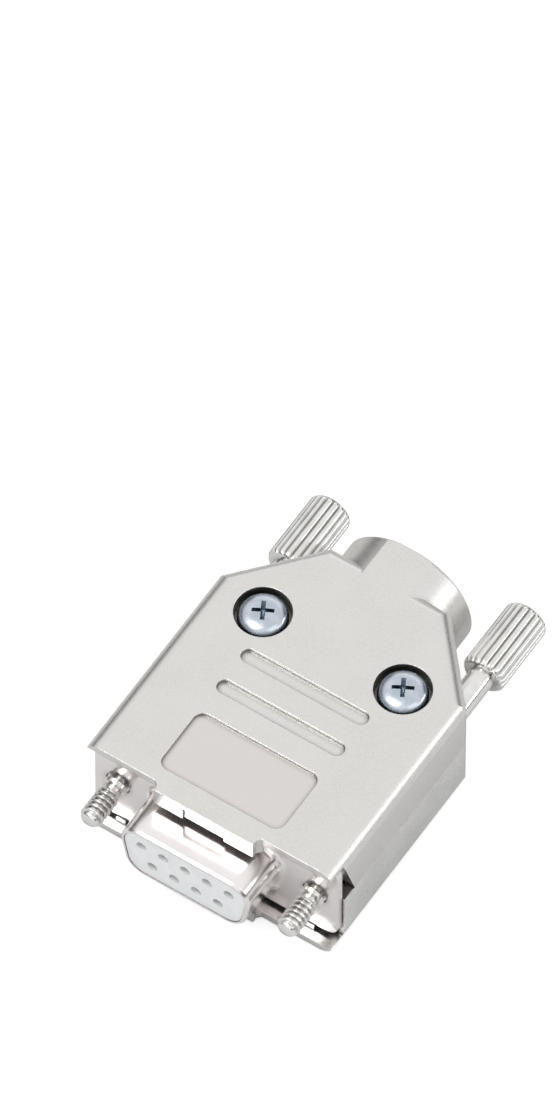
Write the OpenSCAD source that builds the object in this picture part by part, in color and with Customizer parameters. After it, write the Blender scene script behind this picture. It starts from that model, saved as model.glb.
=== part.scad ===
// Nine-way D-sub connector in a two-part die-cast hood with captive thumbscrews and a cable clamp.
// The origin is the centre of the connector flange's front face.
// +X runs across the connector, +Y towards the cable, +Z towards the cover.

/* [Connector] */
// Distance between neighbouring contacts in a row
contact_pitch = 2.77; // [2.6:0.01:3.4]
// Distance between the two rows of contacts
row_pitch = 2.84; // [2.5:0.01:3.2]
// Width that the D shell adds to the wide row of contacts
d_margin = 5.25; // [5:0.01:6.5]
// Height of the D shell
d_h = 7.9; // [7.5:0.1:9.5]
// Length of the D shell in front of the flange
d_depth = 6.1; // [5:0.1:7.5]
// Slope of the D shell's two sides
d_angle = 10; // [5:1:12]
// Corner radius of the D shell
d_r = 2.6; // [1.8:0.1:3]
// Distance between the thumbscrew axes, beyond the D shell's width
hole_margin = 8.66; // [8.4:0.01:10.5]
// Width of the flange, beyond the distance between the thumbscrew axes
flange_margin = 5.82; // [5.5:0.01:8]
// Height of the flange
flange_h = 12.55; // [11.5:0.05:16]
// Corner radius of the flange
flange_r = 1.6; // [0.5:0.1:2.5]
// Diameter of the two flange holes
flange_hole_d = 3.05; // [3:0.01:3.3]
// Sheet thickness of each connector shell
sheet_t = 0.45; // [0.3:0.05:0.6]
// Length of the rear insulator behind the flange
rear_len = 5.7; // [4:0.1:7]
// Length of the solder cups behind the rear insulator
cup_len = 4; // [2.5:0.1:5]

/* [Hood] */
// Clearance of the hood's side beyond the flange's end
side_margin = 0.3; // [0.1:0.05:2]
// Clearance between the flange's long edges and the hood
edge_gap = 0.125; // [0.05:0.005:0.4]
// Step of the lower shell's floor below the flange space
sill_h = 0.6; // [0.3:0.1:1.5]
// Thickness of the top and bottom plates
plate_t = 1; // [0.9:0.05:1.6]
// Thickness of the side walls
wall_t = 1.3; // [1:0.1:1.8]
// Length of the straight sides, from the plates' front edge to the shoulders
side_len = 26; // [23:0.5:40]
// How far each rear corner is cut back across the hood
corner_w = 8.1; // [6:0.1:9.5]
// How far each rear corner is cut back along the hood
corner_len = 9.35; // [7:0.05:14]
// Length of the cable neck behind the body
neck_len = 4; // [2:0.1:8]
// Radius on the long outer edges
edge_r = 1.8; // [0.5:0.1:2.2]
// Plan radius at the shoulders
shoulder_r = 1.5; // [0.5:0.1:4]
// Overhang of the plates in front of the blocks that seat the flange
plate_lead = 2.35; // [1.8:0.05:2.8]
// Width of the retaining tabs
tab_w = 12.6; // [8:0.1:16]
// Depth of the cover's lip in front of the flange
lip_h = 1.5; // [1:0.1:1.5]
// How far the tabs stand in front of the plates
tab_lead = 1.1; // [0.6:0.05:1.5]
// Gap between the lip and the flange
lip_gap = 0.3; // [0.28:0.01:0.5]

/* [Cover face] */
// Length of the label recess across the cover
label_w = 15.5; // [10:0.5:22]
// Width of the label recess
label_h = 8.2; // [5:0.1:9]
// Distance from the plate's front edge to the label recess
label_y = 1.8; // [1:0.1:3]
// Depth of the label recess
label_t = 0.35; // [0.1:0.05:0.5]
// Length of the grip grooves
groove_len = 16; // [8:0.5:20]
// Width of the grip grooves
groove_w = 1.8; // [1:0.1:2.5]
// Depth of the grip grooves
groove_t = 0.45; // [0.1:0.05:0.6]
// Distance between the grip grooves
groove_pitch = 4.65; // [3:0.05:5.5]

/* [Screws] */
// Diameter of a thumbscrew's shaft
shaft_d = 2.95; // [2.6:0.05:3]
// Outside diameter of a thumbscrew's thread
thread_d = 2.7; // [2.4:0.05:2.9]
// Length of the thread
thread_len = 4.3; // [3:0.1:7]
// How far a thumbscrew's tip stands in front of the flange
tip_lead = 5.7; // [4.5:0.05:7]
// Distance from the hood's shoulders back to the thumbscrews' heads
head_back = 7.9; // [7:0.1:14]
// Diameter of a thumbscrew's head
head_d = 5.2; // [4.5:0.1:6.5]
// Length of a thumbscrew's head
head_len = 9.1; // [7:0.1:12]
// Number of ribs round a thumbscrew's head
rib_count = 18; // [13:1:24]
// Radial clearance of a thumbscrew's shaft in the hood
shaft_gap = 0.08; // [0.02:0.01:0.1]
// Distance from each thumbscrew axis inwards to the case screw
case_inset = 3.6; // [3.5:0.1:3.9]
// Distance from the shoulder forwards to the case screws
case_back = 2; // [1.5:0.1:3]
// Shank diameter of the case screws
case_d = 2.9; // [2.5:0.05:3]
// Shank length of the case screws
case_len = 12; // [10:0.5:12]
// Head diameter of the case screws
case_head_d = 5.6; // [5:0.1:5.8]
// Head height of the case screws
case_head_h = 2.3; // [1.8:0.1:2.6]
// Diameter of the counterbores in the cover
counterbore_d = 6.4; // [6.2:0.1:6.8]
// Depth of the counterbores in the cover
counterbore_t = 1.9; // [1.2:0.1:2.4]
// Outer diameter of the lower screw bosses
boss_d = 4.7; // [4.4:0.1:5.2]
// Bore of the lower screw bosses
boss_bore_d = 3.2; // [3.1:0.05:3.4]

/* [Cable clamp] */
// Diameter of the cable passage through the clamp
cable_d = 7; // [6:0.1:8.4]
// Wall between the cable passage and the clamp's barrel
barrel_wall = 2.1; // [1.8:0.05:2.4]
// Length of the clamp
insert_len = 12; // [11:0.5:14]
// Clearance of the clamp in the neck
insert_gap = 0.15; // [0.1:0.05:0.3]
// Gap between the clamp's two halves
half_gap = 0.1; // [0.05:0.05:0.3]
// Wall of the neck round the clamp
neck_wall = 2.15; // [1.6:0.05:2.6]

/* [Hidden] */
$fn = 64;
over = 1;           // how far a cutter runs past the face it cuts
sink = 0.3;         // how far a rib or boss is rooted in what carries it
swell = 0.002;      // how far a corner's arc stands proud, so that it cuts its two edges cleanly
wide_row = 5;
contact_count = 9;

// Connector
d_w = (wide_row - 1) * contact_pitch + d_margin;
screw_x = (d_w + hole_margin) / 2;
flange_w = 2 * screw_x + flange_margin;
flange_t = 2 * sheet_t;
fit_gap = 0.05;     // clearance between the connector's own pieces
contact_d = 1.9;
contact_bore_d = 1.05;
contact_tip = 0.7;  // depth of a contact behind the insulator's front
entry_d = 1.25;
rear_y = flange_t + rear_len;
rear_cup_len = 1.5;
bend_r = 0.9;
lobe_r = 1.75;

// Hood outline
half_w = flange_w / 2 + side_margin;
seat_gap = 0.05;
seat_y = flange_t + seat_gap;
front_y = seat_y - plate_lead;
shoulder_y = front_y + side_len;
back_y = shoulder_y + corner_len;
neck_end_y = back_y + neck_len;
corner_slope = norm([corner_w, corner_len]);
cover_depth = flange_h / 2 + edge_gap + plate_t;
lower_depth = cover_depth + sill_h;
tab_front_y = front_y - tab_lead;
lip_t = -lip_gap - tab_front_y;
tab_chamfer = 0.45;
bead_t = 0.9;
block_len = 2.05;
block_y = seat_y + block_len;
block_slant = 1.95; // how far the cover's side walls lean back from the flange

// Cable clamp and neck
barrel_r = cable_d / 2 + barrel_wall;
bore_r = barrel_r + insert_gap;
neck_r = bore_r + neck_wall;
neck_root = 3;
neck_bevel = 0.35;
insert_y = neck_end_y - 0.75 - insert_len;
ear_w = barrel_r + 0.5;
ear_h = barrel_r + 0.1;
bay_w = ear_w + 0.2;
bay_h = ear_h + insert_gap;
bay_wall = 0.8;
plate_1 = [0, 1];                   // start and end of each upright plate along the clamp
plate_2 = [3.2, 4.15];
plate_3 = [5.15, 6.1];
plate_r = 1.2;                      // corner radius of the plates
slot_r = barrel_r - 0.85;
peg_d = 1.7;
peg_h = 2;
peg_y = (plate_2[0] + plate_3[1]) / 2 - 0.25;
peg_x = (cable_d / 2 + ear_w) / 2 - 0.05;
socket_wall = 0.45;
ledge_t = 2.6;
tooth_y = 4.3;
tooth_angle = 35;                   // how far the tooth sits below the parting plane, round the passage
tooth_room = 0.65;                  // extra radius of the passage round a tooth
clamp_hole_d = 1.9;
clamp_hole_y = plate_1[1] + clamp_hole_d / 2 + 0.05;
pin_hole_d = 0.9;
pin_hole_x = 2.1;

// Inside of the hood
channel_w = 3.2;                    // room for a thumbscrew between the rail and the outer wall
rail_t = 0.8;
rail_x = screw_x - channel_w / 2;
rail_top = 1.2;
step_1_y = front_y + 15.95;
step_2_y = front_y + 11.45;
case_x = screw_x - case_inset;
case_y = shoulder_y - case_back;
thumb_len = shoulder_y + head_back + head_len + tip_lead;
boss_top = 1.3;                     // depth of the lower bosses' top below the parting plane
boss_gap = 0.1;
bore_end = 1.1;                     // metal left under the lower bosses' bores
web_y = case_y - 5;
cradle_r = shaft_d / 2 + shaft_gap;
relief_r = cradle_r + 0.25;
cover_boss_d = boss_d + 0.7;
saddle_r = barrel_r - 0.6;
saddle_t = 1.6;
mark_d = 4;
mark_t = 0.12;
pocket_rib_t = 0.7;
pocket_drop = 0.9;                  // how far the rear pocket's rib lies below the slanting one
barb_h = 0.42;                      // small point in the neck that keeps the clamp from turning
barb_angle = 44;
pad_x = 12;

// One corner of a rounded convex outline: its two tangent points, or the point itself
function unit(v) = v / norm(v);
function corner_dirs(p, i) = [unit(p[(i + len(p) - 1) % len(p)] - p[i]), unit(p[(i + 1) % len(p)] - p[i])];
function corner_half_angle(d) = acos(d[0] * d[1]) / 2;
function tangent_points(p, i, r) = let (d = corner_dirs(p, i), t = r / tan(corner_half_angle(d)))
    [p[i] + t * d[0], p[i] + t * d[1]];
function corner_centre(p, i, r) = let (d = corner_dirs(p, i))
    p[i] + unit(d[0] + d[1]) * r / sin(corner_half_angle(d));

// A convex outline with a radius for each corner, made of straight lines and true arcs
module rounded(p, radii) {
    polygon([for (i = [0:len(p) - 1]) each (radii[i] > 0 ? tangent_points(p, i, radii[i]) : [p[i]])]);
    for (i = [0:len(p) - 1])
        if (radii[i] > 0) translate(corner_centre(p, i, radii[i])) circle(radii[i] + swell);
}

module rounded_box(w, h, r) {
    rounded([[-w / 2, -h / 2], [w / 2, -h / 2], [w / 2, h / 2], [-w / 2, h / 2]], [r, r, r, r]);
}

// Stands an outline drawn in X and Z upright, and runs it from y1 to y2
module along_y(y1, y2) {
    translate([0, y2, 0]) rotate([90, 0, 0]) linear_extrude(y2 - y1) children();
}

module rod_y(r, y1, y2) {
    translate([0, y1, 0]) rotate([-90, 0, 0]) cylinder(r = r, h = y2 - y1);
}

module both_sides() {
    children();
    mirror([1, 0, 0]) children();
}

// ---- Hood: both halves are drawn as the lower one, open side up, with the parting plane at Z = 0

// Plan of the hood, moved inwards by inset
function hood_plan(inset) =
    let (x1 = half_w - inset,
         y1 = shoulder_y - inset * (corner_slope - corner_len) / corner_w,
         x2 = half_w - corner_w - inset * (corner_slope - corner_w) / corner_len,
         y2 = back_y - inset,
         y0 = front_y)
    [[x1, y0], [x1, y1], [x2, y2], [-x2, y2], [-x1, y1], [-x1, y0]];

// Takes the sharp bottom edge off the outline between two of its points
module edge_cut(p1, p2, depth, r) {
    run = p2 - p1;
    translate([p1[0], p1[1], -depth])
        rotate([0, 0, atan2(run[1], run[0])])
            translate([-2 * r, 0, 0])
                rotate([90, 0, 90])
                    linear_extrude(norm(run) + 4 * r)
                        difference() {
                            translate([-over, -over]) square(r + over);
                            translate([r, r]) circle(r);
                        }
}

module hood_slab(depth) {
    plan = hood_plan(0);
    difference() {
        translate([0, 0, -depth])
            linear_extrude(depth)
                rounded(plan, [0, shoulder_r, shoulder_r, shoulder_r, shoulder_r, 0]);
        for (i = [0:4]) edge_cut(plan[i], plan[i + 1], depth, edge_r);
    }
}

// The neck is round, and flat where it meets the plate's own plane
module neck(depth) {
    intersection() {
        union() {
            rod_y(neck_r, back_y - neck_root, neck_end_y - neck_bevel);
            translate([0, neck_end_y - neck_bevel, 0])
                rotate([-90, 0, 0])
                    cylinder(r1 = neck_r, r2 = neck_r - neck_bevel, h = neck_bevel);
        }
        translate([-neck_r - over, back_y - neck_root - over, -depth])
            cube([2 * (neck_r + over), neck_len + neck_root + 2 * over, depth]);
    }
}

// The hollow between the walls, behind the two blocks that seat the flange
module hollow(depth) {
    floor_z = plate_t - depth;
    translate([0, 0, floor_z])
        linear_extrude(over - floor_z)
            intersection() {
                polygon(hood_plan(wall_t));
                translate([-half_w, block_y]) square([2 * half_w, back_y]);
            }
    translate([-rail_x + rail_t, seat_y - over, floor_z])
        cube([2 * (rail_x - rail_t), block_len + 2 * over, over - floor_z]);
}

// A rail with a sloping foot on the inner side of each thumbscrew
module rail(depth) {
    foot = depth - plate_t + sink;
    along_y(block_y - sink, web_y + sink)
        polygon([
            [rail_x, -rail_top], [rail_x - rail_t, -rail_top], [rail_x - rail_t, -3.2],
            [rail_x - rail_t - 0.9, -foot], [rail_x, -foot]
        ]);
}

// A web that carries the thumbscrew's shaft at mid-length
module shaft_web(depth) {
    translate([rail_x - rail_t, web_y, -depth + plate_t - sink])
        cube([half_w - wall_t + sink - rail_x + rail_t, 1, depth - plate_t + sink]);
}

// Ribs behind each boss: a slanting one to the clamp's bay, and a lower one to the rear wall
module pocket_ribs(depth, top) {
    foot = plate_t - depth - sink;
    low = top + pocket_drop;
    translate([bay_w + bay_wall / 2, insert_y + 2.2, foot])
        rotate([0, 0, -45])
            translate([0, -pocket_rib_t / 2, 0]) cube([3, pocket_rib_t, -top - foot]);
    intersection() {
        translate([case_x - pocket_rib_t / 2, case_y, foot])
            cube([pocket_rib_t, back_y - case_y, -low - foot]);
        translate([0, 0, -depth]) linear_extrude(depth) polygon(hood_plan(wall_t / 2));
    }
}

// The solid round the clamp, in one with the neck
module clamp_block(depth) {
    w = bay_w + bay_wall;
    start = insert_y - insert_gap - saddle_t;
    intersection() {
        translate([-w, start, -depth + plate_t - sink])
            cube([2 * w, back_y - start, depth - plate_t + sink]);
        translate([0, 0, -depth]) linear_extrude(depth) polygon(hood_plan(wall_t / 2));
    }
}

// Space for one half of the clamp: a bay for its plates, a rib in its slot, and the neck's bore
module clamp_space(depth) {
    bay_end = insert_y + plate_3[1] + insert_gap;
    rib = [insert_y + plate_2[1] + insert_gap, insert_y + plate_3[0] - insert_gap];
    rib_top = ledge_t + insert_gap;
    difference() {
        translate([-bay_w, insert_y - insert_gap, -bay_h])
            cube([2 * bay_w, bay_end - insert_y + insert_gap, bay_h + over]);
        difference() {
            translate([-bay_w - over, rib[0], -bay_h - over])
                cube([2 * (bay_w + over), rib[1] - rib[0], bay_h + over - rib_top]);
            rod_y(slot_r + insert_gap, rib[0] - over, rib[1] + over);
        }
    }
    rod_y(bore_r, bay_end - over / 10, neck_end_y + over);
    rod_y(saddle_r, insert_y - insert_gap - saddle_t - over, insert_y);
}

// A small three-sided point standing on the neck's bore, beside the clamp's waisted barrel
module neck_barb() {
    translate([0, insert_y + 9.1, 0])
        rotate([0, 90 + barb_angle, 0])
            translate([bore_r + sink, 0, 0])
                rotate([0, -90, 0])
                    cylinder(r1 = 1.05, r2 = 0.1, h = barb_h + sink, $fn = 3);
}

// What the two halves have in common
module hood_half(depth) {
    difference() {
        union() {
            difference() {
                hood_slab(depth);
                hollow(depth);
            }
            neck(depth);
            clamp_block(depth);
            both_sides() rail(depth);
            both_sides() shaft_web(depth);
            children();
        }
        clamp_space(depth);
        both_sides() translate([screw_x, 0, 0]) rod_y(cradle_r, 0, back_y + over);
        // relief beside the bosses, which stand close to the thumbscrews
        both_sides() translate([screw_x, 0, 0]) {
            rod_y(relief_r, case_y - 4.2, case_y + 4.4);
            translate([-relief_r, case_y - 4.2, 0]) cube([2 * relief_r, 8.6, 2 * boss_top]);
        }
        // space for the flange
        translate([-half_w - over, front_y - 5, plate_t - depth])
            cube([2 * (half_w + over), seat_y - front_y + 5, depth + over]);
        // shallow mark of the ejector pin in the neck
        translate([0, insert_y + 9.3, -bore_r - mark_t]) cylinder(d = 3, h = bore_r);
    }
    neck_barb();
}

// A tab in the middle of a plate's front edge, thick as the plate or thicker
module tab(depth, thickness) {
    w = tab_w / 2;
    translate([0, 0, -depth])
        linear_extrude(thickness)
            polygon([
                [-w - tab_chamfer, front_y + sink], [-w - tab_chamfer, front_y], [-w, front_y - tab_chamfer],
                [-w, tab_front_y], [w, tab_front_y], [w, front_y - tab_chamfer],
                [w + tab_chamfer, front_y], [w + tab_chamfer, front_y + sink]
            ]);
}

module lower_boss() {
    floor_z = plate_t - lower_depth;
    translate([case_x, case_y, floor_z - sink]) {
        cylinder(d = boss_d, h = -boss_top - floor_z + sink);
        cylinder(d = boss_d + 1.6, h = 2 + sink);
        cylinder(d = boss_d + 2.6, h = 1.3 + sink);
    }
}

// Two shallow steps raise the floor towards the neck
module floor_steps() {
    floor_z = plate_t - lower_depth;
    w = rail_x - rail_t / 2;
    translate([-w, step_2_y, floor_z - sink]) cube([2 * w, back_y - step_2_y - wall_t / 2, 0.3 + sink]);
    translate([-w, step_1_y, floor_z - sink]) cube([2 * w, back_y - step_1_y - wall_t / 2, 0.8 + sink]);
    translate([-w, case_y - 0.4, floor_z - sink]) cube([2 * w, back_y - case_y - wall_t / 2, 0.95 + sink]);
}

module lower_shell() {
    color("lightgray")
    difference() {
        union() {
            hood_half(lower_depth) {
                intersection() {
                    floor_steps();
                    translate([0, 0, -lower_depth])
                        linear_extrude(lower_depth)
                            polygon(hood_plan(wall_t / 2));
                }
                both_sides() lower_boss();
                both_sides() pocket_ribs(lower_depth, boss_top + 0.2);
            }
            tab(lower_depth, plate_t);
            // bead along the tab's front edge, and pads that the flange stands on
            intersection() {
                tab(lower_depth, plate_t + sill_h);
                translate([-half_w, tab_front_y - over, -lower_depth])
                    cube([2 * half_w, bead_t + over, lower_depth]);
            }
            both_sides()
                translate([pad_x - 0.6, -0.3, plate_t - lower_depth - sink])
                    cube([1.2, seat_y + 0.3 + sink, sill_h + sink]);
        }
        // shallow round marks of the ejector pins
        both_sides() {
            translate([7.4, front_y + 3.4, plate_t - lower_depth - mark_t]) cylinder(d = mark_d, h = over);
            translate([6.5, step_1_y + 3, plate_t - lower_depth + 0.8 - mark_t]) cylinder(d = mark_d, h = over);
        }
        // bores of the bosses, and room above them for the cover's bosses
        both_sides() {
            translate([case_x, case_y, bore_end - lower_depth]) cylinder(d = boss_bore_d, h = lower_depth);
            translate([case_x, case_y, -boss_top]) cylinder(d = cover_boss_d + 0.5, h = boss_top + over);
        }
        // pockets under the blocks that seat the flange
        both_sides()
            translate([rail_x + 0.2, seat_y - over, plate_t - lower_depth])
                cube([half_w - rail_x - 0.9, block_len - 0.6 + over, lower_depth - plate_t - 4.4]);
    }
}

// Drawn open side up like the lower half, then turned over
module cover() {
    floor_z = plate_t - cover_depth;
    color("silver")
    mirror([0, 0, 1])
    difference() {
        union() {
            hood_half(cover_depth) {
                both_sides() translate([case_x, case_y, floor_z - sink]) {
                    cylinder(d = counterbore_d + 1.8, h = counterbore_t + 1.2 - plate_t + sink);
                    cylinder(d = cover_boss_d, h = boss_top - boss_gap - floor_z + sink);
                }
                both_sides() pocket_ribs(cover_depth, 0.4);
            }
            tab(cover_depth, plate_t);
            intersection() {
                tab(cover_depth, plate_t + lip_h);
                translate([-half_w, tab_front_y - over, -cover_depth])
                    cube([2 * half_w, lip_t + over, cover_depth]);
            }
        }
        // side walls lean back from the flange towards the parting plane
        rotate([90, 0, 90])
            translate([0, 0, -half_w - over])
                linear_extrude(2 * (half_w + over))
                    polygon([[seat_y - over, over], [seat_y - over, floor_z], [seat_y, floor_z],
                             [seat_y + block_slant, 0], [seat_y + block_slant, over]]);
        // screw holes, with counterbores from outside
        both_sides() translate([case_x, case_y, -cover_depth - over]) {
            cylinder(d = counterbore_d, h = counterbore_t + over);
            cylinder(d = case_d + 0.4, h = cover_depth + boss_top + 2 * over);
        }
        // label recess and grip grooves
        translate([0, front_y + label_y + label_h / 2, -cover_depth - over])
            linear_extrude(label_t + over)
                rounded_box(label_w, label_h, 1.2);
        for (i = [0:1])
            translate([0, case_y - 5.45 - i * groove_pitch, -cover_depth - over])
                linear_extrude(groove_t + over)
                    rounded_box(groove_len, groove_w, groove_w / 2 - 0.001);
        // shallow window in the lip
        translate([-2.6, tab_front_y - over, -cover_depth + 0.6])
            cube([5.2, 0.3 + over, plate_t + lip_h]);
    }
}

// ---- Cable clamp: one moulding, used twice

// Half of an upright plate, with its two outer corners rounded
module clamp_plate(span, w, h, taper) {
    along_y(span[0], span[1])
        rounded([[-w, 0], [taper - w, -h], [w - taper, -h], [w, 0]], [0, plate_r, plate_r, 0]);
}

module half_rod(r, y1, y2) {
    intersection() {
        rod_y(r, y1, y2);
        translate([-r - over, y1 - over, -r - over]) cube([2 * (r + over), y2 - y1 + 2 * over, r + over]);
    }
}

module clamp_half() {
    body_r = barrel_r - 0.15;
    // parting face half a gap below the middle plane
    difference() {
        union() {
            difference() {
                union() {
                    clamp_plate(plate_1, body_r, ear_h - 0.3, 0.5);
                    clamp_plate(plate_2, ear_w, ear_h, 0.2);
                    clamp_plate(plate_3, ear_w, ear_h, 0.2);
                    intersection() {
                        half_rod(body_r, plate_1[1] - sink, plate_2[0] + sink);
                        translate([-barrel_r, 0, 0.9 - barrel_r])
                            cube([2 * barrel_r, insert_len, barrel_r]);
                    }
                    for (side = [-1, 1])
                        translate([side * peg_x, peg_y, -ledge_t])
                            cylinder(d = peg_d + 2 * socket_wall, h = ledge_t);
                    translate([sink - body_r, plate_1[1] - sink, -ledge_t])
                        cube([2 * (body_r - sink), plate_3[0] - plate_1[1] + 2 * sink, ledge_t]);
                    half_rod(slot_r, plate_2[1] - sink, plate_3[0] + sink);
                    half_rod(barrel_r - 0.4, plate_3[1] - sink, insert_len - 0.5);
                    half_rod(barrel_r, plate_3[1] - sink, plate_3[1] + 0.8);
                    half_rod(barrel_r, insert_len - 1, insert_len);
                }
                rod_y(cable_d / 2, -over, insert_len + over);
                rod_y(cable_d / 2 + tooth_room, tooth_y - 1, tooth_y + 1);
            }
            // pointed grip tooth, in a wider stretch of the passage
            rotate([0, tooth_angle, 0])
                translate([cable_d / 2 + tooth_room + sink, tooth_y, 0])
                    rotate([0, -90, 0])
                        cylinder(r1 = 0.9, r2 = 0.15, h = tooth_room + sink - 0.05, $fn = 4);
            translate([peg_x, peg_y, -sink]) cylinder(d = peg_d, h = peg_h + sink - half_gap / 2);
        }
        // holes in the floor, socket for the other half's peg, notch beside it
        translate([0, clamp_hole_y, -barrel_r - over]) cylinder(d = clamp_hole_d, h = barrel_r + over);
        translate([-pin_hole_x, clamp_hole_y, -barrel_r - over]) cylinder(d = pin_hole_d, h = barrel_r);
        translate([-peg_x, peg_y, -peg_h - 0.2]) cylinder(d = peg_d + 0.2, h = peg_h + 0.2 + over);
        translate([-cable_d / 2 - 0.45, peg_y - 0.5, -1.3]) cube([0.9, 1, 1.3 + over]);
        translate([0, 0, -half_gap / 2]) difference() {
            translate([-ear_w - over, -over, 0]) cube([2 * (ear_w + over), insert_len + 2 * over, peg_h + over]);
            translate([peg_x, peg_y, -over]) cylinder(d = peg_d, h = peg_h + 3 * over);
        }
    }
}

module insert_lower() {
    color("#3c3234") translate([0, insert_y, 0]) clamp_half();
}

module insert_upper() {
    color("#3c3234") translate([0, insert_y, 0]) rotate([0, 180, 0]) clamp_half();
}

// ---- Screws

// Turned outline of a thumbscrew, from its tip: radius and distance from the tip
module thumbscrew() {
    tip = 0.4;
    groove_1 = thread_len;
    ring = groove_1 + 0.5;
    groove_2 = ring + 0.5;
    shaft = groove_2 + 0.5;
    neck_r_small = thread_d / 2 - 0.4;
    head = thumb_len - head_len;
    bevel = 0.5;
    translate([0, -tip_lead, 0])
        rotate([-90, 0, 0])
            difference() {
                rotate_extrude()
                    polygon([
                        [0, 0], [thread_d / 2 - tip, 0], [thread_d / 2, tip], [thread_d / 2, groove_1],
                        [neck_r_small, groove_1], [neck_r_small, ring], [shaft_d / 2, ring],
                        [shaft_d / 2, groove_2], [neck_r_small, groove_2], [neck_r_small, shaft],
                        [shaft_d / 2, shaft], [shaft_d / 2, head], [head_d / 2 - bevel, head],
                        [head_d / 2, head + bevel], [head_d / 2, thumb_len - bevel],
                        [head_d / 2 - bevel, thumb_len], [0, thumb_len]
                    ]);
                // straight grooves between the ribs
                for (i = [0:rib_count - 1])
                    rotate([0, 0, i * 360 / rib_count])
                        translate([head_d / 2 + 0.08, 0, head - over / 10])
                            cylinder(d = 0.62, h = head_len + over, $fn = 16);
            }
}

module thumbscrew_left() {
    color("gainsboro") translate([-screw_x, 0, 0]) thumbscrew();
}

module thumbscrew_right() {
    color("gainsboro") translate([screw_x, 0, 0]) thumbscrew();
}

// Pan head: a short upright band under a dome
module case_screw() {
    r = case_head_d / 2;
    band = 0.9;
    rise = case_head_h - band;
    dome_r = (r * r + rise * rise) / (2 * rise);
    translate([case_x, case_y, cover_depth - counterbore_t]) {
        translate([0, 0, -case_len]) cylinder(d = case_d, h = case_len + sink);
        cylinder(r = r, h = band);
        intersection() {
            translate([0, 0, case_head_h - dome_r]) sphere(dome_r, $fn = 96);
            translate([0, 0, band - 0.001]) cylinder(r = r, h = case_head_h);
        }
    }
}

module case_screw_left() {
    color("lightsteelblue") mirror([1, 0, 0]) case_screw();
}

module case_screw_right() {
    color("lightsteelblue") case_screw();
}

// ---- Connector

// D outline, wide side up, grown outwards by grow
module d_outline(grow) {
    h = d_h / 2 + grow;
    r = d_r + grow;
    top = d_w / 2 + d_r * (tan(d_angle) + 1 / cos(d_angle) - 1) + grow / cos(d_angle) + grow * tan(d_angle);
    bottom = top - 2 * h * tan(d_angle);
    rounded([[-bottom, -h], [bottom, -h], [top, h], [-top, h]], [r, r, r, r]);
}

// A thin slice of the D outline at y, as an end of a drawn band
module d_slice(y, grow) {
    along_y(y, y + 0.01) d_outline(grow);
}

// A stamped shell: a flange on the sheet's one side, a D skirt from y1 to y2 with the given inner growth.
// Its children are further solids outside the skirt.
module stamped(flange_y, y1, y2, inner) {
    outer = inner + sheet_t;
    difference() {
        union() {
            along_y(flange_y, flange_y + sheet_t) rounded_box(flange_w, flange_h, flange_r);
            children();
            along_y(y1, y2) d_outline(outer);
        }
        along_y(y1 - over, y2 + over) d_outline(inner);
        for (side = [-1, 1])
            translate([side * screw_x, 0, 0]) rod_y(flange_hole_d / 2, flange_y - over, flange_y + sheet_t + over);
    }
}

// Bands of a quarter-round bend, from the skirt's outline at -bend_r out to the flange at y = 0
module bend(grow, steps) {
    for (i = [0:steps - 1]) {
        a = 90 * i / steps;
        b = 90 * (i + 1) / steps;
        hull() {
            d_slice(-bend_r * (1 - sin(a)), grow + bend_r * (1 - cos(a)));
            d_slice(-bend_r * (1 - sin(b)), grow + bend_r * (1 - cos(b)));
        }
    }
}

module shell_front() {
    nose = 0.3;
    color("#d8cfcf")
        stamped(0, nose - d_depth, sheet_t, -sheet_t) {
            bend(0, 5);
            hull() {
                d_slice(-d_depth, 0.1 - nose);
                d_slice(nose - d_depth, 0);
            }
        }
}

module shell_rear() {
    color("#d8cfcf") stamped(sheet_t, sheet_t, flange_t + rear_cup_len, 0);
}

// Place of each contact: five above, four below between them
function contact_at(i) = i < wide_row
    ? [(i - (wide_row - 1) / 2) * contact_pitch, row_pitch / 2]
    : [(i - wide_row - (wide_row - 2) / 2) * contact_pitch, -row_pitch / 2];

module at_contacts() {
    for (i = [0:contact_count - 1]) translate(contact_at(i)) children();
}

module insulator_front() {
    front = -d_depth + 0.1;
    color("white") {
        along_y(front + contact_tip - fit_gap, flange_t)
            difference() {
                d_outline(-sheet_t - fit_gap);
                at_contacts() circle(d = contact_d + 2 * fit_gap);
            }
        along_y(front, front + contact_tip)
            difference() {
                d_outline(-sheet_t - fit_gap);
                at_contacts() circle(d = entry_d);
            }
    }
}

module insulator_rear() {
    color("white") {
        along_y(flange_t + fit_gap, flange_t + rear_cup_len + 0.8)
            difference() {
                d_outline(-fit_gap);
                at_contacts() circle(d = contact_d + 2 * fit_gap);
            }
        along_y(flange_t + rear_cup_len, rear_y)
            difference() {
                union() {
                    at_contacts() circle(lobe_r);
                    d_outline(-1.7);
                }
                at_contacts() circle(d = contact_d + 2 * fit_gap);
            }
    }
}

// Female contact: a bored barrel in front, an open solder cup behind
module contact(i) {
    start = -d_depth + 0.1 + contact_tip;
    end = rear_y + cup_len;
    cup_r = contact_d / 2 - 0.1;
    place = contact_at(i);
    color("goldenrod")
        translate([place[0], 0, place[1]])
            difference() {
                union() {
                    rod_y(contact_d / 2, start, rear_y);
                    rod_y(cup_r, rear_y - over, end);
                }
                rod_y(contact_bore_d / 2, start - over, start + 6.5);
                rod_y(cup_r - 0.3, rear_y + 1.2, end + over);
                translate([-cup_r - over, rear_y + 1.6, (place[1] > 0 ? 0 : -2 * cup_r) - 0.001 * over])
                    cube([2 * (cup_r + over), cup_len, 2 * cup_r]);
            }
}

module contact_1() { contact(0); }
module contact_2() { contact(1); }
module contact_3() { contact(2); }
module contact_4() { contact(3); }
module contact_5() { contact(4); }
module contact_6() { contact(5); }
module contact_7() { contact(6); }
module contact_8() { contact(7); }
module contact_9() { contact(8); }

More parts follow.
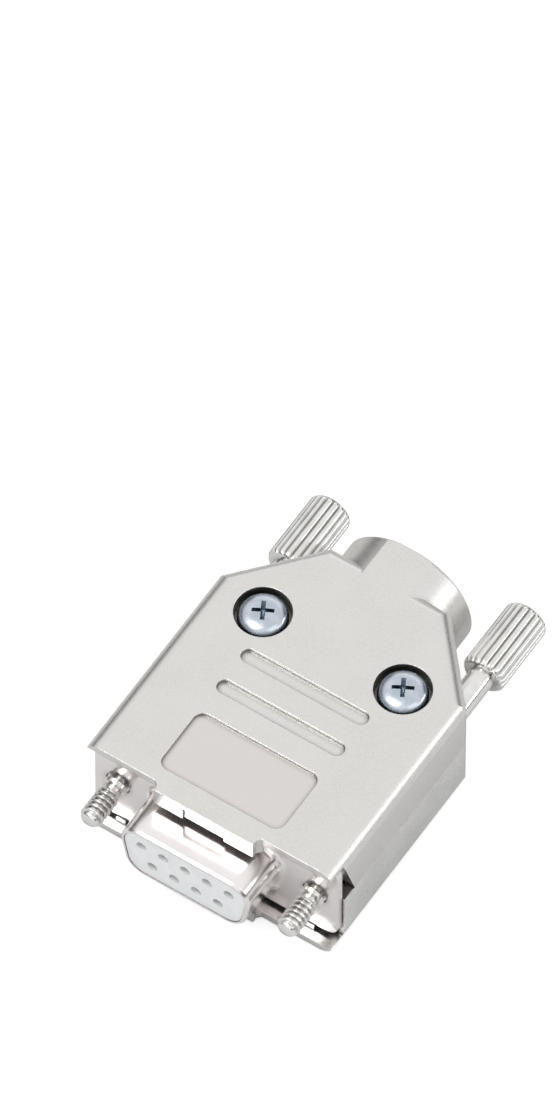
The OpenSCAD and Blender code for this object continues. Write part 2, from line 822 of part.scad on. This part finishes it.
lower_shell();
cover();
insert_lower();
insert_upper();
thumbscrew_left();
thumbscrew_right();
case_screw_left();
case_screw_right();
shell_front();
shell_rear();
insulator_front();
insulator_rear();
contact_1();
contact_2();
contact_3();
contact_4();
contact_5();
contact_6();
contact_7();
contact_8();
contact_9();
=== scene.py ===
import math

import bpy
from mathutils import Matrix, Vector

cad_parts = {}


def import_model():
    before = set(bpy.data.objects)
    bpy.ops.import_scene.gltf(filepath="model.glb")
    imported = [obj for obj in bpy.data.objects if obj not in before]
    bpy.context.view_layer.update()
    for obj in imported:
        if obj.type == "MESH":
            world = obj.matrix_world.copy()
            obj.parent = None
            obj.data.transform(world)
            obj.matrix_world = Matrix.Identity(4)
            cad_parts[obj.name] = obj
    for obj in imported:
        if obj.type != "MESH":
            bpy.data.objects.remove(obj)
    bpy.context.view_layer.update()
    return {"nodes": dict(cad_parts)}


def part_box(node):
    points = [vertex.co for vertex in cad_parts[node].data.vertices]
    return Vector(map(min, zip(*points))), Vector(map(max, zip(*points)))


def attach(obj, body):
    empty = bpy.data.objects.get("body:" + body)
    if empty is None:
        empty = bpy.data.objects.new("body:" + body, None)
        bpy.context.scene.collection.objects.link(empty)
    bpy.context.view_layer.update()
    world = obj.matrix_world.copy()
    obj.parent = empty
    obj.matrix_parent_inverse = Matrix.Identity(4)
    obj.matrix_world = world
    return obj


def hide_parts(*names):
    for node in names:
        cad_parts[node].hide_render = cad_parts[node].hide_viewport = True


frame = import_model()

MM = 0.001

# ---- Places read from the frame

lower_lo, lower_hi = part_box("lower_shell")
case_lo, case_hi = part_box("case_screw_right")
COVER_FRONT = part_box("cover")[0].y
CASE_Y = (case_lo.y + case_hi.y) / 2
FLOOR_Z = lower_lo.z
CENTRE = Vector((0, (lower_lo.y + lower_hi.y) / 2, 0))

# ---- Values shared by several functions

SMOOTH_ANGLE = math.radians(40)
CUT_SMOOTH_ANGLE = math.radians(35)
CREVICE_SAMPLES = 6
BEVEL_SAMPLES = 4
HEAD_RIBS = 18
SIDES_PER_RIB = 10

# Sockets of the Mix node by number, because those for floats and for colours share their names
FLOAT_A, FLOAT_B, FLOAT_RESULT = 2, 3, 0
COLOUR_A, COLOUR_B, COLOUR_RESULT = 6, 7, 2


# ---- Material helpers

class Surface:
    """One material's node tree, with short names for the nodes that the materials share."""

    def __init__(self, name):
        self.material = bpy.data.materials.new(name)
        self.material.use_nodes = True
        self.nodes = self.material.node_tree.nodes
        self.links = self.material.node_tree.links
        self.bsdf = next(n for n in self.nodes if n.type == "BSDF_PRINCIPLED")
        self.place = self.nodes.new("ShaderNodeTexCoord").outputs["Object"]

    def feed(self, socket, value):
        """Gives a socket a number or another node's output."""
        if isinstance(value, (int, float)):
            socket.default_value = value
        else:
            self.links.new(value, socket)

    def stretched(self, scale, turn=(0, 0, 0)):
        mapping = self.nodes.new("ShaderNodeMapping")
        mapping.inputs["Scale"].default_value = scale
        mapping.inputs["Rotation"].default_value = turn
        self.links.new(self.place, mapping.inputs["Vector"])
        return mapping.outputs["Vector"]

    def noise(self, size, detail=2.0, roughness=0.5, vector=None, distortion=0.0):
        """Noise whose largest blobs are about size metres across."""
        node = self.nodes.new("ShaderNodeTexNoise")
        node.inputs["Scale"].default_value = 1 / size
        node.inputs["Detail"].default_value = detail
        node.inputs["Roughness"].default_value = roughness
        node.inputs["Distortion"].default_value = distortion
        self.links.new(vector or self.place, node.inputs["Vector"])
        return node.outputs["Fac"]

    def span(self, value, low, high, start=0.3, end=0.7):
        """Maps value from start..end to low..high."""
        node = self.nodes.new("ShaderNodeMapRange")
        node.inputs["From Min"].default_value = start
        node.inputs["From Max"].default_value = end
        node.inputs["To Min"].default_value = low
        node.inputs["To Max"].default_value = high
        self.links.new(value, node.inputs["Value"])
        return node.outputs["Result"]

    def math(self, operation, a, b):
        node = self.nodes.new("ShaderNodeMath")
        node.operation = operation
        for socket, value in zip(node.inputs, (a, b)):
            self.feed(socket, value)
        return node.outputs["Value"]

    def mix(self, factor, a, b):
        """Mixes two colours or colour sockets by a factor socket."""
        node = self.nodes.new("ShaderNodeMix")
        node.data_type = "RGBA"
        self.links.new(factor, node.inputs["Factor"])
        for number, value in ((COLOUR_A, a), (COLOUR_B, b)):
            if isinstance(value, tuple):
                node.inputs[number].default_value = (*value, 1)
            else:
                self.links.new(value, node.inputs[number])
        return node.outputs[COLOUR_RESULT]

    def mix_value(self, factor, a, b):
        """Mixes two numbers or number sockets by a factor socket."""
        node = self.nodes.new("ShaderNodeMix")
        node.data_type = "FLOAT"
        self.links.new(factor, node.inputs["Factor"])
        for number, value in ((FLOAT_A, a), (FLOAT_B, b)):
            self.feed(node.inputs[number], value)
        return node.outputs[FLOAT_RESULT]

    def crevice(self, reach):
        """0 deep in a corner, 1 in the open."""
        node = self.nodes.new("ShaderNodeAmbientOcclusion")
        node.samples = CREVICE_SAMPLES
        node.inputs["Distance"].default_value = reach
        return node.outputs["AO"]

    def shade_corners(self, colour, dark, reach, start, end):
        """Turns a colour dark where the crevice value falls from end to start."""
        return self.mix(self.span(self.crevice(reach), 0, 1, start, end), dark, colour)

    def edges(self, radius):
        """A normal that rounds sharp edges to this radius."""
        node = self.nodes.new("ShaderNodeBevel")
        node.samples = BEVEL_SAMPLES
        node.inputs["Radius"].default_value = radius
        return node.outputs["Normal"]

    def rim_wear_and_highlight(self, radius):
        """1 along sharp edges, 0 elsewhere, from the cosine between the rounded and the true normal. It marks
        edge wear and painted highlight.
        """
        full_rim, no_rim = 0.82, 0.995
        rounded = self.edges(radius)
        true = self.nodes.new("ShaderNodeNewGeometry").outputs["Normal"]
        dot = self.nodes.new("ShaderNodeVectorMath")
        dot.operation = "DOT_PRODUCT"
        self.links.new(rounded, dot.inputs[0])
        self.links.new(true, dot.inputs[1])
        return self.span(dot.outputs["Value"], 1, 0, full_rim, no_rim)

    def bump(self, height, depth, normal):
        """Raises the surface by height times depth metres."""
        node = self.nodes.new("ShaderNodeBump")
        node.inputs["Strength"].default_value = 1
        node.inputs["Distance"].default_value = depth
        self.feed(node.inputs["Height"], height)
        self.links.new(normal, node.inputs["Normal"])
        return node.outputs["Normal"]

    def box_mask(self, low, high):
        """1 inside an upright box in the surface's own frame."""
        split = self.nodes.new("ShaderNodeSeparateXYZ")
        self.links.new(self.place, split.inputs["Vector"])
        mask = None
        for axis in range(3):
            above = self.math("GREATER_THAN", split.outputs[axis], low[axis])
            below = self.math("LESS_THAN", split.outputs[axis], high[axis])
            both = self.math("MULTIPLY", above, below)
            mask = both if mask is None else self.math("MULTIPLY", mask, both)
        return mask

    def set(self, **values):
        """Feeds the shader's inputs, named in lower case with underscores, and gives back the material."""
        for name, value in values.items():
            socket = self.bsdf.inputs[name.replace("_", " ").title().replace("Ior", "IOR")]
            self.feed(socket, value)
        return self.material


# ---- Materials

def cast_nickel():
    """Bright nickel over a die casting: soft waves, fine pits, streaks from the tumbler, painted shade in the
    corners.
    """
    dull, bright, shadow = (0.80, 0.795, 0.775), (0.90, 0.895, 0.88), (0.13, 0.125, 0.11)
    wide_reach, narrow_reach = 0.9 * MM, 0.3 * MM
    s = Surface("bright cast nickel")
    waves = s.noise(5 * MM, detail=2)
    pits = s.noise(0.22 * MM, detail=3)
    streaks = s.noise(1.2 * MM, detail=3, vector=s.stretched((1, 0.22, 1), (0, 0, 0.5)))
    unshaded = s.mix(s.span(waves, 0, 1), dull, bright)
    # Painted shade: the colour falls to the shadow colour in corners and crevices, found by ambient occlusion.
    wide = s.span(s.crevice(wide_reach), 0, 1, 0.3, 0.8)
    narrow = s.span(s.crevice(narrow_reach), 0.3, 1, 0.6, 0.85)
    colour = s.mix(s.math("MULTIPLY", wide, narrow), shadow, unshaded)
    rough = s.math("ADD", s.span(streaks, 0.14, 0.24), s.span(pits, 0.0, 0.08))
    normal = s.edges(0.12 * MM)
    normal = s.bump(waves, 0.012 * MM, normal)
    normal = s.bump(streaks, 0.004 * MM, normal)
    normal = s.bump(pits, 0.003 * MM, normal)
    return s.set(base_color=colour, metallic=1.0, roughness=rough, normal=normal)


def satin_nickel(label):
    """Satin nickel with a fine grain. The label recess is smoother and slightly pink; sharp edges are painted
    bright, partly wear from rubbing and partly painted highlight; corners get painted shade.
    """
    dull, bright, grain_top = (0.70, 0.69, 0.665), (0.76, 0.75, 0.725), (0.80, 0.79, 0.77)
    label_pink, lighter_tone, shadow = (0.76, 0.725, 0.71), (0.93, 0.925, 0.91), (0.16, 0.155, 0.14)
    label_rough, rubbed_rough, label_height = 0.34, 0.2, 0.5
    s = Surface("satin cast nickel")
    grain = s.noise(0.16 * MM, detail=3, roughness=0.6)
    clouds = s.noise(7 * MM, detail=3)
    inside = s.box_mask(*label)
    rim_wear_and_sheen = s.rim_wear_and_highlight(0.16 * MM)
    body = s.mix(s.span(clouds, 0, 1), dull, bright)
    body = s.mix(s.span(grain, 0, 1), body, grain_top)
    body = s.mix(inside, body, label_pink)
    # Painted highlight along sharp edges, partly real wear from rubbing: the colour turns paler there.
    body = s.mix(rim_wear_and_sheen, body, lighter_tone)
    colour = s.shade_corners(body, shadow, 0.7 * MM, 0.4, 0.9)
    rough = s.mix_value(inside, s.span(grain, 0.26, 0.38), label_rough)
    rough = s.mix_value(rim_wear_and_sheen, rough, rubbed_rough)
    normal = s.edges(0.15 * MM)
    normal = s.bump(clouds, 0.02 * MM, normal)
    normal = s.bump(s.mix_value(inside, grain, label_height), 0.014 * MM, normal)
    return s.set(base_color=colour, metallic=1.0, roughness=rough, normal=normal)


def turned_nickel():
    """Bright nickel over turned steel: fine rings round the axis and a few handling marks."""
    dull, bright, shadow = (0.80, 0.795, 0.77), (0.90, 0.895, 0.88), (0.25, 0.24, 0.22)
    s = Surface("turned nickel")
    rings = s.noise(0.5 * MM, detail=3, vector=s.stretched((0.05, 4, 0.05)))
    marks = s.noise(1.5 * MM, detail=2)
    colour = s.mix(s.span(marks, 0, 1), dull, bright)
    colour = s.shade_corners(colour, shadow, 0.5 * MM, 0.2, 0.9)
    rough = s.math("ADD", s.span(rings, 0.10, 0.20), s.span(marks, 0.0, 0.06))
    normal = s.bump(rings, 0.003 * MM, s.edges(0.06 * MM))
    return s.set(base_color=colour, metallic=1.0, roughness=rough, normal=normal)


def blue_zinc():
    """Bluish zinc plate, slightly matt, with faint clouding."""
    dull, bright, shadow = (0.50, 0.56, 0.63), (0.68, 0.73, 0.79), (0.20, 0.25, 0.31)
    s = Surface("blue zinc plate")
    clouds = s.noise(1.6 * MM, detail=3)
    specks = s.noise(0.15 * MM, detail=2)
    colour = s.mix(s.span(clouds, 0, 1), dull, bright)
    colour = s.shade_corners(colour, shadow, 0.6 * MM, 0.2, 0.9)
    rough = s.math("ADD", s.span(clouds, 0.18, 0.30), s.span(specks, 0.0, 0.08))
    normal = s.bump(specks, 0.003 * MM, s.edges(0.08 * MM))
    return s.set(base_color=colour, metallic=1.0, roughness=rough, normal=normal)


def tin_plate():
    """Smooth tin-plated sheet with a faint rose cast and soft draw lines."""
    dull, bright, shadow = (0.92, 0.875, 0.87), (0.96, 0.92, 0.915), (0.24, 0.21, 0.23)
    s = Surface("tin-plated sheet")
    clouds = s.noise(4 * MM, detail=2)
    lines = s.noise(0.7 * MM, detail=3, vector=s.stretched((1, 0.15, 1)))
    colour = s.mix(s.span(clouds, 0, 1), dull, bright)
    colour = s.shade_corners(colour, shadow, 1.0 * MM, 0.3, 0.9)
    rough = s.math("ADD", s.span(clouds, 0.14, 0.22), s.span(lines, 0.0, 0.05))
    normal = s.bump(clouds, 0.02 * MM, s.edges(0.10 * MM))
    normal = s.bump(lines, 0.003 * MM, normal)
    return s.set(base_color=colour, metallic=1.0, roughness=rough, normal=normal)


def black_moulding():
    """Near-black warm plastic with flow marks, a fine spark-eroded skin and paler edges, partly wear and partly
    painted highlight.
    """
    dark, light, lighter_tone = (0.012, 0.009, 0.009), (0.022, 0.016, 0.017), (0.075, 0.058, 0.058)
    s = Surface("black moulding")
    flow = s.noise(3 * MM, detail=2, distortion=0.6)
    skin = s.noise(0.12 * MM, detail=2)
    rim_wear_and_sheen = s.rim_wear_and_highlight(0.12 * MM)
    colour = s.mix(s.span(flow, 0, 1), dark, light)
    # Painted highlight along sharp edges, partly real wear: the colour turns paler there.
    colour = s.mix(rim_wear_and_sheen, colour, lighter_tone)
    rough = s.math("ADD", s.span(flow, 0.20, 0.30), s.span(skin, 0.0, 0.08))
    normal = s.bump(flow, 0.02 * MM, s.edges(0.16 * MM))
    normal = s.bump(skin, 0.004 * MM, normal)
    return s.set(base_color=colour, roughness=rough, specular_ior_level=0.4, normal=normal)


def white_moulding():
    """White glass-filled plastic, slightly warm, with faint swirls and painted grey shade in the corners."""
    dull, bright, shadow = (0.88, 0.875, 0.865), (0.94, 0.935, 0.925), (0.42, 0.40, 0.39)
    s = Surface("white moulding")
    swirl = s.noise(2 * MM, detail=3, distortion=1.0)
    skin = s.noise(0.15 * MM, detail=2)
    colour = s.mix(s.span(swirl, 0, 1), dull, bright)
    colour = s.shade_corners(colour, shadow, 0.5 * MM, 0.15, 0.85)
    rough = s.span(skin, 0.38, 0.52)
    normal = s.bump(skin, 0.004 * MM, s.edges(0.08 * MM))
    return s.set(base_color=colour, roughness=rough, subsurface_weight=0.08, normal=normal)


def gold_flash():
    """Thin gold over brass, paler in patches of wear from rubbing, with painted shade down inside the bores."""
    deep, lighter_tone, shadow = (0.78, 0.58, 0.26), (0.90, 0.74, 0.42), (0.035, 0.022, 0.01)
    s = Surface("gold flash")
    clouds = s.noise(0.8 * MM, detail=3)
    colour = s.mix(s.span(clouds, 0, 1), deep, lighter_tone)
    # Painted shade: the colour turns near-black in the bores and corners.
    colour = s.shade_corners(colour, shadow, 1.2 * MM, 0.15, 0.65)
    normal = s.bump(clouds, 0.004 * MM, s.edges(0.05 * MM))
    return s.set(base_color=colour, metallic=1.0, roughness=s.span(clouds, 0.18, 0.32), normal=normal)


# ---- Meshes

def show(obj):
    bpy.context.scene.collection.objects.link(obj)


def new_object(name, verts, faces, material):
    mesh = bpy.data.meshes.new(name)
    mesh.from_pydata(verts, [], faces)
    mesh.validate()
    mesh.update()
    obj = bpy.data.objects.new(name, mesh)
    show(obj)
    obj.data.materials.append(material)
    mesh.shade_smooth()
    mesh.set_sharp_from_angle(angle=SMOOTH_ANGLE)
    return obj


def lathe(name, rings, sides, material):
    """A closed body turned about +Y. rings is a list of (y, radius as a function of the angle)."""
    verts = []
    for y, radius in rings:
        for i in range(sides):
            angle = 2 * math.pi * i / sides
            r = radius(angle)
            verts.append((r * math.cos(angle), y, r * math.sin(angle)))
    faces = []
    for k in range(len(rings) - 1):
        for i in range(sides):
            j = (i + 1) % sides
            faces.append((k * sides + i, k * sides + j, (k + 1) * sides + j, (k + 1) * sides + i))
    for k, ring_y in ((0, rings[0][0]), (len(rings) - 1, rings[-1][0])):
        verts.append((0, ring_y, 0))
        centre = len(verts) - 1
        for i in range(sides):
            j = (i + 1) % sides
            edge = (k * sides + j, k * sides + i) if k == 0 else (k * sides + i, k * sides + j)
            faces.append((*edge, centre))
    return new_object(name, verts, faces, material)


def plain(radius):
    return lambda angle: radius


def threaded(y, minor, major, pitch):
    """Radius round a right-hand thread at height y: a trapezium between minor and major."""
    crest, slope = 1.6, 4.2

    def radius(angle):
        phase = (y / pitch + angle / (2 * math.pi)) % 1
        height = min(1, max(0, crest - abs(phase - 0.5) * slope))
        return minor + (major - minor) * height
    return radius


def thread_rings(start, end, minor, major, pitch, per_turn=10):
    """Rings along a thread, run out to the minor radius at both ends."""
    count = round((end - start) / pitch * per_turn)
    runout = pitch * 0.8
    rings = []
    for k in range(count + 1):
        y = start + (end - start) * k / count
        fade = min(1, (y - start) / runout, (end - y) / runout)
        rings.append((y, threaded(y, minor, minor + (major - minor) * fade, pitch)))
    return rings


def ribbed(radius, depth, count):
    """Radius round a head with straight rounded ribs."""
    sharpness = 3

    def at(angle):
        phase = (angle * count / (2 * math.pi)) % 1
        return radius - depth * (abs(2 * phase - 1) ** sharpness)
    return at


def head_rings(start, end, radius):
    """A ribbed head from start to end. The ribs fade out over its bevelled ends."""
    profile = ((0, 0.62), (0.03, 0.80), (0.10, 0.88), (0.28, 0.95), (0.50, 0.985), (0.75, 1.0))
    rib_depth, ribs_from, fade_from, fade_length = 0.30 * MM, 0.9, 0.85, 0.15

    def ring(y, share):
        depth = 0.0 if share < ribs_from else rib_depth * (share - fade_from) / fade_length
        return y, ribbed(radius * share, depth, HEAD_RIBS)
    near = [ring(start + t * MM, share) for t, share in profile]
    far = [ring(end - t * MM, share) for t, share in reversed(profile)]
    return near + far


def thumbscrew(name, material):
    """A jackscrew: thread, undercut with a ring, long shaft, ribbed head."""
    thread_len, head_len = 4.3 * MM, 9.1 * MM
    tip_r, core_r, thread_r, pitch = 0.9 * MM, 1.02 * MM, 1.35 * MM, 0.635 * MM
    shaft_r, small_r, shoulder = 1.475 * MM, 0.95 * MM, 0.06 * MM
    tip_lead, step, corner, shoulder_len = 0.08 * MM, 0.5 * MM, 0.02 * MM, 0.1 * MM
    low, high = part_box(name)
    tip = low.y
    thread_end = tip + thread_len
    head = high.y - head_len
    rings = [(tip, plain(tip_r))]
    rings += thread_rings(tip + tip_lead, thread_end, core_r, thread_r, pitch)
    y = thread_end
    for r in (small_r, shaft_r, small_r):
        rings += [(y + corner, plain(r)), (y + step - corner, plain(r))]
        y += step
    rings += [(y + corner, plain(shaft_r - shoulder)), (y + shoulder_len, plain(shaft_r))]
    rings += [(head - corner, plain(shaft_r))]
    rings += head_rings(head, high.y, (high.x - low.x) / 2)
    obj = lathe(name + "_turned", rings, HEAD_RIBS * SIDES_PER_RIB, material)
    obj.location.x = (low.x + high.x) / 2
    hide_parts(name)
    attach(obj, name)


def cross_cutter(span, width, depth, top):
    """A tapered cross with a pointed floor. It stands a little above height top, so that it cuts right out."""
    flare, floor_span, floor_width, point = 1.15, 0.52, 0.72, 1.25
    lid = top + 0.5 * MM

    def outline(scale, w, z):
        s, h = span / 2 * scale, w / 2
        points = [(s, -h), (s, h), (h, h), (h, s), (-h, s), (-h, h),
                  (-s, h), (-s, -h), (-h, -h), (-h, -s), (h, -s), (h, -h)]
        return [(x, y, z) for x, y in points]
    layers = [outline(flare, width * flare, lid), outline(1.0, width, top),
              outline(floor_span, width * floor_width, top - depth)]
    verts = [v for layer in layers for v in layer]
    verts += [(0, 0, top - depth * point), (0, 0, lid)]
    n = len(layers[0])
    bottom = (len(layers) - 1) * n
    floor_point = len(layers) * n
    lid_centre = floor_point + 1
    faces = []
    for k in range(len(layers) - 1):
        for i in range(n):
            j = (i + 1) % n
            faces.append((k * n + i, (k + 1) * n + i, (k + 1) * n + j, k * n + j))
    for i in range(n):
        j = (i + 1) % n
        faces.append((bottom + j, bottom + i, floor_point))
        faces.append((i, j, lid_centre))
    return verts, faces


def cut(obj, cutter):
    """Takes cutter out of obj for good, and removes the cutter."""
    modifier = obj.modifiers.new("cut", "BOOLEAN")
    modifier.object = cutter
    modifier.operation = "DIFFERENCE"
    modifier.solver = "EXACT"
    done = bpy.data.meshes.new_from_object(obj.evaluated_get(bpy.context.evaluated_depsgraph_get()))
    obj.modifiers.clear()
    obj.data = done
    bpy.data.objects.remove(cutter)


def case_screw_rings(length, head_r, head_h):
    """A pan-head machine screw from tip to crown, with the head's underside at 0."""
    tip_r, core_r, thread_r, pitch, per_turn = 0.9 * MM, 1.13 * MM, 1.45 * MM, 0.5 * MM, 8
    tip_lead, thread_end, neck_y, neck_r = 0.25 * MM, -0.5 * MM, -0.4 * MM, 1.2 * MM
    underside, bevel_r, bevel_h, rim_h = 0.001 * MM, 0.12 * MM, 0.10 * MM, 0.85 * MM
    crown_h, crown_r, crown_steps, crown_power, rim_power = 1.45 * MM, 0.2 * MM, 12, 0.9, 0.62
    rings = [(-length, plain(tip_r))]
    rings += thread_rings(-length + tip_lead, thread_end, core_r, thread_r, pitch, per_turn)
    rings += [(neck_y, plain(neck_r)), (0, plain(thread_r)), (underside, plain(head_r - bevel_r))]
    rings += [(bevel_h, plain(head_r)), (rim_h, plain(head_r))]
    for k in range(1, crown_steps):
        t = k / crown_steps * math.pi / 2
        rise = rim_h + crown_h * math.sin(t) ** crown_power
        rings.append((rise, plain(head_r * math.cos(t) ** rim_power)))
    rings.append((head_h, plain(crown_r)))
    return rings


def case_screw(name, material):
    """A pan-head machine screw: domed head with a cross recess, thread to the tip."""
    head_h, sides, recess_turn = 2.3 * MM, 48, 0.5
    recess_span, recess_width, recess_depth, recess_top = 2.4 * MM, 0.46 * MM, 0.95 * MM, 2.2 * MM
    low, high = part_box(name)
    seat = high.z - head_h
    rings = case_screw_rings(seat - low.z, (high.x - low.x) / 2, head_h)
    obj = lathe(name + "_cut", rings, sides, material)
    obj.data.transform(Matrix.Rotation(math.pi / 2, 4, "X"))
    verts, faces = cross_cutter(recess_span, recess_width, recess_depth, recess_top)
    cutter = new_object("cross", verts, faces, material)
    cutter.rotation_euler.z = recess_turn
    cut(obj, cutter)
    obj.data.set_sharp_from_angle(angle=CUT_SMOOTH_ANGLE)
    obj.location = ((low.x + high.x) / 2, (low.y + high.y) / 2, seat)
    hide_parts(name)
    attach(obj, name)


def raised_line(name, points, closed, material):
    """A flattened half-round bead along a smooth line through points given in mm."""
    bead_r, bead_resolution, flatten = 0.2 * MM, 3, 0.7
    curve = bpy.data.curves.new(name, "CURVE")
    curve.dimensions = "3D"
    curve.bevel_depth = bead_r
    curve.bevel_resolution = bead_resolution
    spline = curve.splines.new("NURBS")
    spline.points.add(len(points) - 1)
    for point, (x, y) in zip(spline.points, points):
        point.co = (x * MM, y * MM, 0, 1)
    spline.order_u = 3
    spline.use_cyclic_u = closed
    spline.use_endpoint_u = not closed
    drawn = bpy.data.objects.new(name + "_curve", curve)
    show(drawn)
    mesh = bpy.data.meshes.new_from_object(drawn)
    bpy.data.objects.remove(drawn)
    obj = bpy.data.objects.new(name, mesh)
    show(obj)
    obj.data.materials.clear()
    obj.data.materials.append(material)
    obj.scale.z = flatten
    return obj


def floor_marks(material):
    """The cast figures on the floor: a 9, and a 2 inside a ring. Points and places are in mm."""
    floor_top = FLOOR_Z + 1.0 * MM
    ring_r, ring_points = 2, 16
    nine = [(0.75, 1.0), (0.75, 1.75), (-0.75, 1.75), (-0.75, 0.25), (0.75, 0.25), (0.8, 1.4),
            (0.6, -1.0), (-0.1, -1.75), (-0.6, -1.6)]
    two = [(-0.6, 0.6), (-0.45, 1.25), (0.6, 1.3), (0.75, 0.4), (-0.2, -0.4), (-0.7, -1.05),
           (-0.6, -1.1), (0.0, -1.0), (0.75, -1.05)]
    turns = [math.pi * k / (ring_points / 2) for k in range(ring_points)]
    ring = [(ring_r * math.cos(turn), ring_r * math.sin(turn)) for turn in turns]
    nine_at, two_at = (-3.3, 6.1), (2.8, 6.0)
    for name, points, closed, (x, y) in (("figure_9", nine, False, nine_at), ("figure_2", two, False, two_at),
                                         ("figure_ring", ring, True, two_at)):
        mark = raised_line(name, points, closed, material)
        mark.location = (x * MM, y * MM, floor_top)
        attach(mark, "lower_shell")


# ---- Looks of the CAD nodes

def dress(node, material):
    materials = frame["nodes"][node].data.materials
    materials.clear()
    materials.append(material)


LABEL_LOW = Vector((-7.9, COVER_FRONT / MM + 2.6, 6)) * MM
LABEL_HIGH = Vector((7.9, COVER_FRONT / MM + 11.4, 7.2)) * MM
CAST = cast_nickel()
SATIN = satin_nickel((LABEL_LOW, LABEL_HIGH))
TURNED = turned_nickel()
ZINC = blue_zinc()
TIN = tin_plate()
BLACK = black_moulding()
WHITE = white_moulding()
GOLD = gold_flash()

dress("lower_shell", CAST)
dress("cover", SATIN)
for half in ("insert_lower", "insert_upper"):
    dress(half, BLACK)
for sheet in ("shell_front", "shell_rear"):
    dress(sheet, TIN)
for block in ("insulator_front", "insulator_rear"):
    dress(block, WHITE)
for number in range(1, 10):
    dress("contact_%d" % number, GOLD)
for side in ("left", "right"):
    thumbscrew("thumbscrew_" + side, TURNED)
    case_screw("case_screw_" + side, ZINC)
floor_marks(CAST)


# ---- Stage, light and camera

def floor():
    """A plain pale floor, lifted to white where the camera sees it."""
    size, gap, grey, glow_strength = 3.0, 0.0002, 0.64, 0.62
    z = FLOOR_Z - gap
    material = bpy.data.materials.new("floor")
    material.use_nodes = True
    nodes, links = material.node_tree.nodes, material.node_tree.links
    bsdf = next(n for n in nodes if n.type == "BSDF_PRINCIPLED")
    bsdf.inputs["Base Color"].default_value = (grey, grey, grey, 1)
    bsdf.inputs["Roughness"].default_value = 0.9
    bsdf.inputs["Specular IOR Level"].default_value = 0.0
    bsdf.inputs["Emission Color"].default_value = (1, 1, 1, 1)
    glow = nodes.new("ShaderNodeMath")
    glow.operation = "MULTIPLY"
    glow.inputs[1].default_value = glow_strength
    links.new(nodes.new("ShaderNodeLightPath").outputs["Is Camera Ray"], glow.inputs[0])
    links.new(glow.outputs[0], bsdf.inputs["Emission Strength"])
    corners = [(-size, -size, z), (size, -size, z), (size, size, z), (-size, size, z)]
    obj = new_object("floor", corners, [(0, 1, 2, 3)], material)


def world():
    """A studio: white overhead, grey walls, darker towards the horizon, white where the camera sees it."""
    below, overhead, blue_cast = 0.09, 0.92, 1.01
    walls = ((0.15, 0.055), (0.34, 0.28), (0.52, 0.875))
    made = bpy.data.worlds.new("studio")
    bpy.context.scene.world = made
    made.use_nodes = True
    nodes, links = made.node_tree.nodes, made.node_tree.links
    background = next(n for n in nodes if n.type == "BACKGROUND")
    split = nodes.new("ShaderNodeSeparateXYZ")
    links.new(nodes.new("ShaderNodeTexCoord").outputs["Generated"], split.inputs[0])
    ramp = nodes.new("ShaderNodeValToRGB")
    stops = ramp.color_ramp.elements
    stops[0].position, stops[0].color = 0.0, (below, below, below, 1)
    stops[1].position, stops[1].color = 1.0, (overhead, overhead, overhead, 1)
    for position, level in walls:
        stops.new(position).color = (level, level, level * blue_cast, 1)
    links.new(split.outputs["Z"], ramp.inputs[0])
    mixed = nodes.new("ShaderNodeMix")
    mixed.data_type = "RGBA"
    links.new(nodes.new("ShaderNodeLightPath").outputs["Is Camera Ray"], mixed.inputs["Factor"])
    links.new(ramp.outputs["Color"], mixed.inputs[COLOUR_A])
    mixed.inputs[COLOUR_B].default_value = (1, 1, 1, 1)
    links.new(mixed.outputs[COLOUR_RESULT], background.inputs["Color"])
    background.inputs["Strength"].default_value = 1.0


def direction(azimuth, elevation):
    """Unit vector from the object towards azimuth and elevation in degrees. Azimuth 0 is the front, -Y."""
    a, e = math.radians(azimuth), math.radians(elevation)
    return Vector((math.sin(a) * math.cos(e), -math.cos(a) * math.cos(e), math.sin(e)))


def aim(obj, back):
    """Makes a lamp or camera look against back."""
    obj.rotation_euler = (-back).to_track_quat("-Z", "Y").to_euler()


def softbox(name, azimuth, elevation, distance, width, height, power):
    """A rectangular lamp that looks at the object. Distance and sizes in metres, power in watts."""
    back = direction(azimuth, elevation)
    data = bpy.data.lights.new(name, "AREA")
    data.shape = "RECTANGLE"
    data.size, data.size_y = width, height
    data.energy = power
    lamp = bpy.data.objects.new(name, data)
    lamp.location = CENTRE + back * distance
    aim(lamp, back)
    show(lamp)


def camera(azimuth, elevation, distance, width, shift_right, shift_up, anchor):
    """A long lens at the photo's angle. width is what the picture's short side spans at the anchor."""
    picture_w, picture_h = 559, 1097
    back = direction(azimuth, elevation)
    a = math.radians(azimuth)
    right = Vector((math.cos(a), math.sin(a), 0))
    up = back.cross(right)
    data = bpy.data.cameras.new("camera")
    data.sensor_width = 36
    data.lens = data.sensor_width * distance / (width * picture_h / picture_w)
    data.clip_start, data.clip_end = 0.01, 20
    obj = bpy.data.objects.new("camera", data)
    obj.location = anchor + right * shift_right + up * shift_up + back * distance
    aim(obj, back)
    show(obj)
    bpy.context.scene.camera = obj


LAMPS = (
    # name, azimuth, elevation, distance, width, height, power
    ("key", -35, 60, 0.6, 0.3, 0.3, 1.1),
    ("fill", 80, 35, 0.6, 0.4, 0.5, 0.35),
    ("back", 200, 20, 0.6, 0.6, 0.25, 0.3),
    ("edge", 118, 16, 0.6, 0.5, 0.12, 0.6),
    ("front", 10, 12, 0.6, 0.5, 0.2, 0.5),
)
floor()
world()
for lamp_values in LAMPS:
    softbox(*lamp_values)
camera(azimuth=33.3, elevation=57, distance=2.4, width=59.6 * MM, shift_right=-5.68 * MM,
       shift_up=15.58 * MM, anchor=Vector((0, CASE_Y, -1.3 * MM)))
bpy.context.scene.view_settings.view_transform = "Standard"
